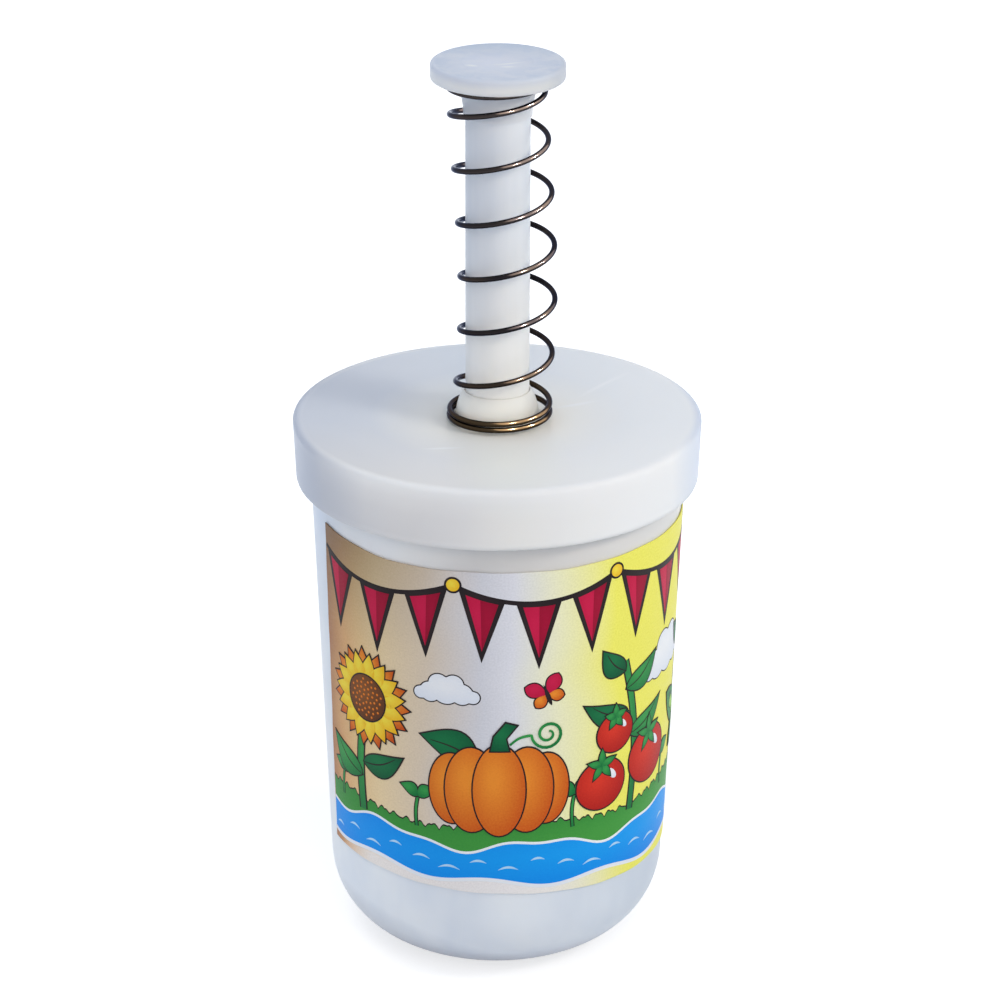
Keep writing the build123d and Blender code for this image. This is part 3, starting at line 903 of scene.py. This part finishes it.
def pumpkin(u, v):
    plates = drawn_leaf((u - 4, v + 6), (u - 15, v + 10.5), 6.4, "deep_green", 6, -0.1)
    ribs = ((8.9, 4.4, 7.4), (5.2, 5.0, 8.9), (0.0, 4.9, 9.6))
    for depth, (aside, wide, tall) in enumerate(ribs):
        for place in sorted({-aside, aside}):
            plates += outlined(ellipse(u + place, v, wide, tall), "orange", 9 + 2 * depth, 0.3)
    stalk = ((-1.6, 8.4), (1.8, 8.4), (1.2, 11), (3.2, 13.6), (1.2, 14.2), (-1, 11.4))
    plates += outlined([(u + x, v + y) for x, y in stalk], "deep_green", 15, 0.3)
    curl = [polar(u + 9.2, v + 11.4, 3.2 - 2.6 * s, pi * (1 + 3.4 * s)) for s in steps(36)]
    tendril = bowed((u + 2, v + 9.6), curl[0], 0.12) + curl[1:]
    plates.append(line(tendril, 0.55, "green", 14, 0.3))
    return plates


def tomato(u, v, radius):
    plates = outlined(ellipse(u, v, radius, radius * 0.94), "red", 9, 0.3)
    glint = ellipse(u + radius * 0.42, v + radius * 0.3, radius * 0.13, radius * 0.26, 0.7)
    plates.append(fill(glint, "white", 11))
    crown = v + radius * 0.72
    sepals = 5
    for turn in angles(sepals):
        shape = leaf((u, crown), polar(u, crown, radius * 0.62, pi / 2 + turn), 1.5)
        plates += outlined(shape, "green", 12, 0.2)
    return plates


def tomatoes(u):
    plates = drawn_stem((u + 1, BANK_TOP - 1), (u - 1, 66), -0.06, 2.0, 1.35, "green", 4)
    plates += drawn_leaf((u + 0.5, 50), (u + 11, 54.5), 4.6, "green", 6, -0.12)
    plates += drawn_leaf((u, 55), (u - 10.5, 59), 4.6, "deep_green", 6, 0.12)
    plates += drawn_leaf((u - 0.6, 60), (u + 8.5, 65), 4.6, "green", 6, -0.12)
    plates += drawn_leaf((u - 1, 64), (u - 6.5, 69.5), 4.6, "deep_green", 6, 0.12)
    for aside, v, radius in ((-6.4, 41.6, 5.6), (6.8, 43.6, 6.2), (-3.2, 51.8, 4.4)):
        plates += tomato(u + aside, v, radius)
    return plates


def pea_pods(u):
    plates = drawn_stem((u - 2, BANK_TOP - 1), (u + 2, 65), 0.07, 1.7, 1.1, "deep_green", 4)
    plates += drawn_leaf((u + 0.6, 56), (u + 9, 60), 5.0, "green", 6, -0.1)
    plates += drawn_leaf((u + 1.2, 61), (u - 6.5, 66), 4.6, "deep_green", 6, 0.1)
    pods = (((-10, 52.5), (7.5, 43.5), -0.1), ((-6.5, 39.5), (11, 47.5), 0.1))
    for number, (base, tip, bow) in enumerate(pods):
        layer = 9 + 5 * number
        base, tip = Vector((u + base[0], base[1])), Vector((u + tip[0], tip[1]))
        plates += outlined(leaf(base, tip, 6.6, bow), "green", layer, 0.3)
        inside = leaf(base.lerp(tip, 0.1), base.lerp(tip, 0.93), 4.3, bow)
        plates.append(fill(inside, "deep_green", layer + 2))
        spine = bowed(base, tip, bow, 20)
        for pea, radius in enumerate((1.35, 1.6, 1.7, 1.5, 1.15)):
            middle = spine[5 + 3 * pea - pea // 3]
            plates += outlined(ellipse(*middle, radius, radius, count=24), "pea_green", layer + 3, 0.18)
    return plates


def seedling(u, height):
    tip = (u + 0.3, BANK_TOP + height)
    plates = drawn_stem((u, BANK_TOP - 0.5), tip, 0.05, 0.9, 0.5, "green", 3)
    for side in (-1, 1):
        end = (tip[0] + side * height * 0.62, tip[1] + height * 0.3)
        plates += outlined(leaf(tip, end, height * 0.42, 0.14 * side), "green", 5, 0.24)
    return plates


def cloud(u, v, size):
    """A cloud whose outline is the furthest reach of a few round puffs."""
    puffs = ((0, 0, 0.5), (-0.56, -0.12, 0.36), (0.55, -0.1, 0.38), (-0.25, 0.22, 0.36), (0.27, 0.25, 0.34),
             (-0.92, -0.2, 0.22), (0.93, -0.19, 0.23))
    rays = 120
    outline = []
    for angle in angles(rays):
        ray = Vector((cos(angle), sin(angle)))
        reach = 0
        for x, y, radius in puffs:
            along = ray.x * x + ray.y * y
            inside = radius ** 2 - x ** 2 - y ** 2 + along ** 2
            if inside >= 0:
                reach = max(reach, along + sqrt(inside))
        outline.append((u + ray.x * reach * size, v + ray.y * reach * size))
    return outlined(outline, "white", 1, 0.25)


def butterfly(u, v, size, tilt):
    plates = []
    for side in (-1, 1):
        for lean, reach, width, ink in ((0.75, 1.0, 0.62, "crimson"), (-0.5, 0.72, 0.5, "orange")):
            angle = tilt + pi / 2 - side * (pi / 2 - lean)
            tip = polar(u, v, size * reach, angle)
            plates += outlined(leaf(tip, (u, v), size * width), ink, 2, 0.26)
    tail = polar(u, v, size * 0.55, tilt - pi / 2)
    head = polar(u, v, size * 0.5, tilt + pi / 2)
    plates.append(fill(leaf(tail, head, size * 0.2), "line", 4))
    return plates


# Each printed piece, what draws it and where: u on the label, and what else the drawing takes
PRINT = (
    ("label_bunting", bunting, ((),)),
    ("label_stream", stream, ((),)),
    ("label_sunflowers", sunflower, ((-27, 58), (106, 58))),
    ("label_pumpkins", pumpkin, ((0.5, 43.4), (79.5, 43.4))),
    ("label_tomatoes", tomatoes, ((27.5,), (132.5,))),
    ("label_pea_pods", pea_pods, ((53,),)),
    ("label_seedlings", seedling, (
        (-35.2, 5), (-15.5, 6), (14.8, 6.5), (40.5, 6), (65, 7), (93.5, 6), (118.5, 6.5), (145, 6))),
    ("label_clouds", cloud, (
        (42, 62.5, 8.5), (-9.5, 63.8, 5.5), (68.5, 63, 7), (92, 63.5, 6), (120, 62.5, 7.5))),
    ("label_butterflies", butterfly, ((9.5, 63, 4.6, 0.35), (143.5, 63, 4.0, -0.3))),
)


def wobble(place, phase):
    return CUT_WOBBLE * (0.6 * sin(place / 5.3 + phase) + 0.4 * sin(place / 1.9 + 2 * phase))


def corner_rise(u):
    share = max((u - CORNER_START) / (LABEL_LEFT - CORNER_START), 0)
    return CORNER_RISE * share ** 1.3


def paper():
    """The sheet of the label, with its hand-cut edges."""
    along = between(LABEL_LEFT, LABEL_RIGHT, CUTS_ALONG)
    upward = between(LABEL_FOOT - foot_fall(LABEL_LEFT), LABEL_TOP, CUTS_UP)
    outline = [(u, LABEL_FOOT - foot_fall(u) + wobble(u, 0.4)) for u in along]
    outline += [(LABEL_RIGHT + wobble(v, 1.3), v) for v in upward[1:-1]]
    outline += [(u, LABEL_TOP + corner_rise(u) + wobble(u, 2.2)) for u in reversed(along)]
    outline += [(LABEL_LEFT + wobble(v, 3.1), v) for v in reversed(upward[1:-1])]
    return Plate(outline, [range(len(outline))], "paper", 0.0, -LABEL_PAPER)


def cut(form, normal, low, high, spacing):
    """Cuts a form at the multiples of a spacing that lie between two limits."""
    for number in range(floor(low / spacing) + 1, ceil(high / spacing)):
        geometry = form.verts[:] + form.edges[:] + form.faces[:]
        point = Vector(normal) * spacing * number
        bmesh.ops.bisect_plane(form, geom=geometry, dist=1e-5, plane_co=point, plane_no=normal)


def box(corners):
    us, vs = zip(*corners)
    return min(us), max(us), min(vs), max(vs)


def plates_mesh(name, plates, inks):
    """Closed thin plates, cut into cells on the flat label and then wrapped round the cup."""
    form = bmesh.new()
    number_layer = form.faces.layers.int.new("plate")
    used = sorted({plate.ink for plate in plates})
    for number, plate in enumerate(plates):
        verts = [form.verts.new((*corner, plate.lift)) for corner in plate.corners]
        for corners in plate.faces:
            face = form.faces.new([verts[corner] for corner in corners])
            face.material_index = used.index(plate.ink)
            face[number_layer] = number
    boxes = [box(plate.corners) for plate in plates]
    lefts, rights, feet, tops = zip(*boxes)
    cut(form, (1, 0, 0), min(lefts), max(rights), CELL_WIDTH)
    cut(form, (0, 1, 0), min(feet), max(tops), CELL_HEIGHT)
    made = bmesh.ops.extrude_face_region(form, geom=form.faces[:], use_keep_orig=True)
    roots = {item for item in made["geom"] if isinstance(item, bmesh.types.BMVert)}
    for face in form.faces:
        for vert in face.verts:
            if vert in roots:
                vert.co.z = plates[face[number_layer]].root
    bmesh.ops.triangulate(form, faces=[face for face in form.faces if len(face.verts) > 4])
    flat_map = form.loops.layers.uv.new("flat")
    motif_map = form.loops.layers.uv.new("motif")
    for face in form.faces:
        left, right, foot, top = boxes[face[number_layer]]
        for loop in face.loops:
            u, v, _ = loop.vert.co
            loop[flat_map].uv = ((u - LABEL_LEFT) / LABEL_LENGTH, (v - LABEL_FOOT) / LABEL_HEIGHT)
            loop[motif_map].uv = ((u - left) / (right - left), (v - foot) / (top - foot))
        face.smooth = True
    for vert in form.verts:
        vert.co = wrapped(*vert.co)
    mesh = finished(form, name, [inks[ink] for ink in used])
    mesh.set_sharp_from_angle(angle=SHARP_EDGE)
    return mesh


# Paper and inks; places on the paper are shares of its length and its height
# Tones of the print along the paper; the darkest brown at its left end is painted shade where the cup turns
# away, and the grey band about a fifth of the way along is a painted sheen
PAPER_STOPS = (
    (0.0, srgb(172, 112, 64)),
    (0.03, srgb(224, 172, 116)),
    (0.055, srgb(236, 198, 142)),
    (0.085, srgb(242, 215, 168)),
    (0.135, srgb(230, 211, 186)),
    (0.19, srgb(222, 221, 226)),
    (0.22, srgb(236, 235, 240)),
    (0.265, srgb(251, 248, 206)),
    (0.335, srgb(254, 248, 108)),
    (0.49, srgb(250, 241, 94)),
    (0.61, srgb(246, 240, 190)),
    (0.71, srgb(232, 231, 234)),
    (0.84, srgb(231, 208, 170)),
    (1.0, srgb(198, 158, 114)),
)
PAPER_DRIFT = 0.05  # how far the tones stray along the paper
# Painted shadow of the lid on the upper left corner of the paper
LID_SHADOW_ALONG = (0.02, 0.17)  # dark upper left corner
LID_SHADOW_UP = (0.7, 1)
HEM_START = (0.02, 0.07)  # pale lower edge
HEM_END = (0.26, 0.36)
HEM_UP = (0.045, 0.1)
PRINT_GRAIN = 520  # patches over the length of the label, as in the next two
PAPER_GLOSS = 90
PAPER_CLOUDS = 3.2
INK_GLOW = (0.4, 0.62, 0)  # palest place of each printed area


def print_grain(look, flat):
    """Fine unevenness of a printed surface, from 0 to 1."""
    even = look.stretched(flat, (1.0, LABEL_HEIGHT / LABEL_LENGTH, 1.0))
    return look.noise(even, PRINT_GRAIN, 2)


def paper_material():
    look = Look("label_paper", {"IOR": 1.45})
    flat = look.map_place("flat")
    along = look.part(flat, "X")
    upward = look.part(flat, "Y")
    drift = look.times(look.math("SUBTRACT", look.noise(flat, PAPER_CLOUDS, 1), 0.5), PAPER_DRIFT)
    colour = look.ramp(look.math("ADD", along, drift), PAPER_STOPS)
    # Painted shadow of the lid on the paper's upper left corner
    corner = look.times(look.span(along, 1, 0, *LID_SHADOW_ALONG), look.span(upward, 0, 0.8, *LID_SHADOW_UP))
    colour = look.mix(corner, colour, (112, 82, 48))
    hem = look.times(look.span(along, 0.9, 0, *HEM_END), look.span(upward, 1, 0, *HEM_UP))
    hem = look.times(hem, look.span(along, 0, 1, *HEM_START))
    colour = look.mix(hem, colour, (250, 244, 240))
    grain = print_grain(look, flat)
    darker = look.add("HueSaturation", {"Color": colour, "Value": 0.9, "Saturation": 1.06}).outputs["Color"]
    colour = look.mix(look.span(grain, 0, 1), darker, colour)
    roughness = look.span(look.noise(flat, PAPER_GLOSS, 2), 0.42, 0.52)
    return look.done(colour, roughness, look.bump(grain, 0.01))


def ink_material(name, light, deep):
    """Printing ink that deepens towards the rim of each printed area."""
    look = Look("ink_" + name, {"IOR": 1.47, "Specular IOR Level": 0.12})
    grain = print_grain(look, look.map_place("flat"))
    glow = look.add("VectorMath", {0: look.map_place("motif"), 1: INK_GLOW}, operation="DISTANCE")
    tone = look.span(glow.outputs["Value"], 0, 1, 0.08, 0.72)
    worn = look.math("ADD", tone, look.times(look.math("SUBTRACT", grain, 0.5), 0.5))
    colour = look.ramp(worn, [(0.0, srgb(*light)), (1.0, srgb(*deep))])
    return look.done(colour, look.span(grain, 0.36, 0.48), look.bump(grain, 0.008))


INK_COLOURS = {
    "line": ((46, 36, 38), (26, 20, 24)),
    "crimson": ((208, 30, 76), (190, 20, 62)),
    "deep_crimson": ((168, 14, 54), (150, 10, 46)),
    "white": ((250, 250, 250), (232, 236, 244)),
    "blue": ((22, 162, 246), (10, 136, 236)),
    "pale_blue": ((190, 226, 250), (150, 206, 246)),
    "grass": ((72, 158, 66), (38, 126, 54)),
    "green": ((56, 156, 76), (14, 112, 58)),
    "deep_green": ((24, 116, 68), (6, 80, 50)),
    "pea_green": ((176, 222, 96), (104, 178, 54)),
    "orange": ((244, 146, 48), (204, 80, 22)),
    "red": ((222, 56, 38), (172, 20, 20)),
    "yellow": ((255, 226, 72), (246, 186, 30)),
    "brown": ((138, 84, 40), (84, 44, 22)),
}
inks = {name: ink_material(name, light, deep) for name, (light, deep) in INK_COLOURS.items()}
inks["paper"] = paper_material()

sheet = new_piece("label_sheet", plates_mesh("label_sheet", [paper()], inks), "cup")
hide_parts("label")
for name, draw, places in PRINT:
    plates = [plate for place in places for plate in draw(*place)]
    new_piece(name, plates_mesh(name, plates, inks), "cup")


# Floor, world and lamps
FLOOR_SIZE = 12.0
FLOOR_COLOUR = (0.8, 0.81, 0.83, 1)
FLOOR_SEEN = (0.5, 0.5, 0.5, 1)  # what the lamps add to the glow that the camera sees
FLOOR_GLOW = 0.7  # of the white that the camera sees without any lamp, at the foot
FLOOR_CLEAR = 300 * MM  # from the axis to where the floor is plain white
AMBIENT = (0.74, 0.84, 1.0, 1)
AMBIENT_LEVEL = 0.7
WHITE = (1, 1, 1, 1)
PALE = (1.0, 0.96, 0.84)
WARM = (1.0, 0.74, 0.44)
BRONZE = (1.0, 0.9, 0.77)
MIDDLE = Vector((0, 0, VIEW_HEIGHT))
LAMP_DISTANCE = 620 * MM
LAMP_RISE = radians(34)
# Lamps on a ring round the object: name, azimuth, size, power and colour
STUDIO_LAMPS = (("key", 66, 0.16, 1.05, PALE), ("front", 10, 0.3, 0.52, WARM))
# Lamps on that ring that only the wire shows: name, azimuth, size and power
WIRE_LAMPS = (("front_glint", 27, 0.06, 30), ("side_glint", 78, 0.06, 30), ("sheen", 62, 2.0, 78))
# Small lamps: one lights a patch of floor and so the left of the foot, one the boss and the foot of the rod
FLOOR_LAMP = (Vector((-70, -35, 110)) * MM, Vector((-70, -35, 0)) * MM, 0.05, 0.0095, PALE, radians(75))
BOSS_LAMP = (Vector((-75, -106, 125)) * MM, Vector((0, 0, 107)) * MM, 0.03, 0.00018, PALE, radians(10))


def seen_white(tree):
    """1 for rays from the camera and for rays in gloss or glass, which see the white studio."""
    path = tree.add("LightPath", {})
    value = path.outputs["Is Camera Ray"]
    for name in ("Is Glossy Ray", "Is Transmission Ray"):
        value = tree.add("Math", {0: value, 1: path.outputs[name]}, operation="MAXIMUM").outputs[0]
    return value


def make_world():
    world = bpy.data.worlds.new("studio")
    world.use_nodes = True
    bpy.context.scene.world = world
    tree = Tree(world.node_tree)
    ambient = tree.nodes["Background"]
    tree.feed(ambient.inputs["Color"], AMBIENT)
    tree.feed(ambient.inputs["Strength"], AMBIENT_LEVEL)
    white = tree.add("Background", {"Color": WHITE, "Strength": 1.0})
    choice = tree.add("MixShader", {0: seen_white(tree), 1: ambient.outputs[0], 2: white.outputs[0]})
    tree.feed(tree.nodes["World Output"].inputs["Surface"], choice.outputs[0])


def floor_material():
    """A pale floor that looks white to the camera and still takes the shadow."""
    look = Look("floor", {})
    look.nodes.remove(look.shader)
    plain = look.add("BsdfDiffuse", {"Color": FLOOR_COLOUR})
    lit = look.add("BsdfDiffuse", {"Color": FLOOR_SEEN})
    inputs = {"Value": look.length(look.place()), "From Max": FLOOR_CLEAR, "To Min": FLOOR_GLOW}
    clear = look.add("MapRange", inputs, interpolation_type="SMOOTHSTEP")
    glow = look.add("Emission", {"Strength": clear.outputs["Result"]})
    both = look.add("AddShader", {0: lit.outputs[0], 1: glow.outputs[0]})
    choice = look.add("MixShader", {0: seen_white(look), 1: plain.outputs[0], 2: both.outputs[0]})
    look.feed(look.nodes["Material Output"].inputs["Surface"], choice.outputs[0])
    return look.material


def make_floor():
    mesh = bpy.data.meshes.new("floor")
    half = FLOOR_SIZE / 2
    corners = [(-half, -half, 0), (half, -half, 0), (half, half, 0), (-half, half, 0)]
    mesh.from_pydata(corners, [], [(0, 1, 2, 3)])
    mesh.materials.append(floor_material())
    floor = new_object("floor", mesh)


def make_lamp(name, place, target, size, power, colour, spread=pi):
    """A round soft lamp that shines from a place towards a target."""
    data = bpy.data.lights.new(name, "AREA")
    data.shape = "DISK"
    data.size = size
    data.energy = power
    data.color = colour
    data.spread = spread
    lamp = new_object(name, data)
    lamp.visible_camera = False
    lamp.location = place
    lamp.rotation_mode = "QUATERNION"
    lamp.rotation_quaternion = (target - place).to_track_quat("-Z", "Y")
    return lamp


def round_about(azimuth):
    """Place of a lamp on its ring; azimuth 0 is in front and 90 on the right, in degrees."""
    turn = radians(azimuth)
    level = LAMP_DISTANCE * cos(LAMP_RISE)
    height = LAMP_DISTANCE * sin(LAMP_RISE)
    return MIDDLE + Vector((level * sin(turn), -level * cos(turn), height))


def group(name, pieces):
    """A collection of pieces for a lamp that lights no others."""
    collection = bpy.data.collections.new(name)
    for piece in pieces:
        collection.objects.link(piece)
    return collection


def make_lamps():
    for name, azimuth, size, power, colour in STUDIO_LAMPS:
        make_lamp(name, round_about(azimuth), MIDDLE, size, power, colour)
    make_lamp("floor_left", *FLOOR_LAMP)
    lamp = make_lamp("boss_left", *BOSS_LAMP)
    boss_and_rod = group("boss_and_rod", [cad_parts["lid"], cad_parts["plunger_rod"]])
    lamp.light_linking.receiver_collection = boss_and_rod
    lamp.light_linking.blocker_collection = boss_and_rod
    wire_only = group("wire_only", [spring])
    for name, azimuth, size, power in WIRE_LAMPS:
        lamp = make_lamp(name, round_about(azimuth), MIDDLE, size, power, BRONZE)
        lamp.light_linking.receiver_collection = wire_only


def make_camera():
    data = bpy.data.cameras.new("camera")
    data.sensor_width = SENSOR_MM
    data.lens = LENS_MM
    data.clip_start = NEAREST_SEEN
    camera = new_object("camera", data)
    back = Vector((0, -cos(VIEW_TILT), sin(VIEW_TILT)))
    camera.location = MIDDLE + back * VIEW_DISTANCE
    turned = (VIEW_AIM - camera.location).to_track_quat("-Z", "Y").to_euler()
    turned.rotate_axis("Z", VIEW_ROLL)
    camera.rotation_euler = turned
    bpy.context.scene.camera = camera


make_world()
make_floor()
make_lamps()
make_camera()
bpy.context.scene.view_settings.view_transform = "Standard"
